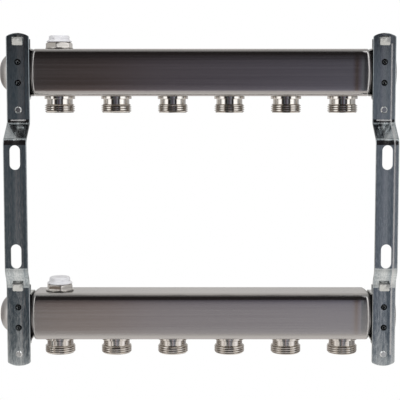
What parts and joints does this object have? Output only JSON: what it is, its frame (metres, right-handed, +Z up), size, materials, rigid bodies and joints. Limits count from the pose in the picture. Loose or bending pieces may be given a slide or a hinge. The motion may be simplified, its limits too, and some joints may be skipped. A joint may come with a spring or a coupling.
{
  "type": "heating manifold",
  "caption": "Wall-mounted underfloor heating manifold: square stainless bars with screwed outlets below and manual air vents above, strapped into cranked steel brackets.",
  "frame": {"origin": "on the wall plane, midway between the two brackets and between their wall slots", "axes": "+X along the bars towards the open inlets, +Y from the wall into the room, +Z up"},
  "size_m": [0.3468, 0.0647, 0.289],
  "materials": {
    "stainless": "satin stainless steel",
    "nickel": "bright nickel plate on turned brass",
    "zinc": "blue-bright zinc plate on steel strip",
    "strap_zinc": "light satin zinc plate on the straps and screws",
    "rubber": "black rubber",
    "white_plastic": "white moulded plastic"
  },
  "bodies": {
    "manifold": {"left_bracket": "zinc", "right_bracket": "zinc", "upper_bar": "stainless", "upper_outlet_1": "nickel", "upper_outlet_seal_1": "rubber", "upper_outlet_2": "nickel", "upper_outlet_seal_2": "rubber", "upper_outlet_3": "nickel", "upper_outlet_seal_3": "rubber", "upper_outlet_4": "nickel", "upper_outlet_seal_4": "rubber", "upper_outlet_5": "nickel", "upper_outlet_seal_5": "rubber", "upper_outlet_6": "nickel", "upper_outlet_seal_6": "rubber", "upper_vent_body": "nickel", "upper_vent_seal": "rubber", "upper_left_clamp_strap": "strap_zinc", "upper_left_clamp_liner": "rubber", "upper_right_clamp_strap": "strap_zinc", "upper_right_clamp_liner": "rubber", "lower_bar": "stainless", "lower_outlet_1": "nickel", "lower_outlet_seal_1": "rubber", "lower_outlet_2": "nickel", "lower_outlet_seal_2": "rubber", "lower_outlet_3": "nickel", "lower_outlet_seal_3": "rubber", "lower_outlet_4": "nickel", "lower_outlet_seal_4": "rubber", "lower_outlet_5": "nickel", "lower_outlet_seal_5": "rubber", "lower_outlet_6": "nickel", "lower_outlet_seal_6": "rubber", "lower_vent_body": "nickel", "lower_vent_seal": "rubber", "lower_left_clamp_strap": "strap_zinc", "lower_left_clamp_liner": "rubber", "lower_right_clamp_strap": "strap_zinc", "lower_right_clamp_liner": "rubber", "clamp_screws": "strap_zinc"},
    "upper_vent_spindle": {"upper_vent_knob": "white_plastic", "upper_vent_stem": "nickel", "upper_vent_stem_ring": "rubber"},
    "lower_vent_spindle": {"lower_vent_knob": "white_plastic", "lower_vent_stem": "nickel", "lower_vent_stem_ring": "rubber"}
  },
  "joints": [
    {"name": "upper_vent_knob_turn", "type": "hinge", "parent": "manifold", "child": "upper_vent_spindle", "pos_m": [-0.125, 0.0441, 0.1416], "axis": [0, 0, 1], "range_deg": [0, 360]},
    {"name": "lower_vent_knob_turn", "type": "hinge", "parent": "manifold", "child": "lower_vent_spindle", "pos_m": [-0.125, 0.0291, -0.0704], "axis": [0, 0, 1], "range_deg": [0, 360]}
  ]
}
